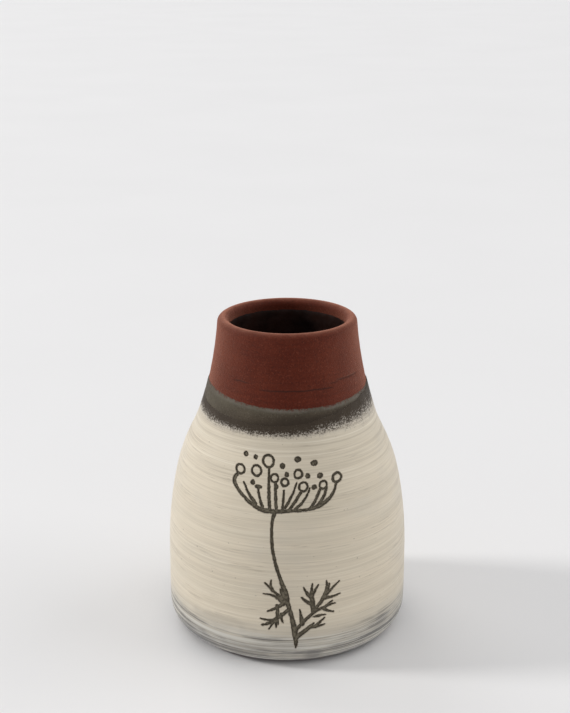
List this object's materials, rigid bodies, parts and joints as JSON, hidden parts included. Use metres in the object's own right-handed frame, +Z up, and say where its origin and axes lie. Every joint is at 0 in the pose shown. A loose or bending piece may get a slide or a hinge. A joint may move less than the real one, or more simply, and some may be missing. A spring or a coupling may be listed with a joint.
{
  "type": "ceramic vase",
  "caption": "Small round-bodied ceramic table vase with an open neck, a bare clay lip, a dark band and a pale body coat carved with a flowering plant.",
  "frame": {"origin": "centre of the foot ring, on the surface the vase stands on", "axes": "+Z up the axis of the vase towards its mouth; the carved drawing faces -Y, and +X is to the right of somebody looking at it"},
  "size_m": [0.1134, 0.1134, 0.15],
  "materials": {
    "bare_clay": "matte, fine-grained, unglazed red stoneware",
    "dark_glaze": "satin black-brown liner glaze",
    "grey_coat": "speckled satin-matte grey-brown",
    "pale_coat": "satin ivory, brushed on in streaks"
  },
  "bodies": {
    "root": {"clay_body": "bare_clay", "liner_glaze": "dark_glaze", "grey_engobe": "grey_coat", "white_slip": "pale_coat"}
  },
  "joints": []
}
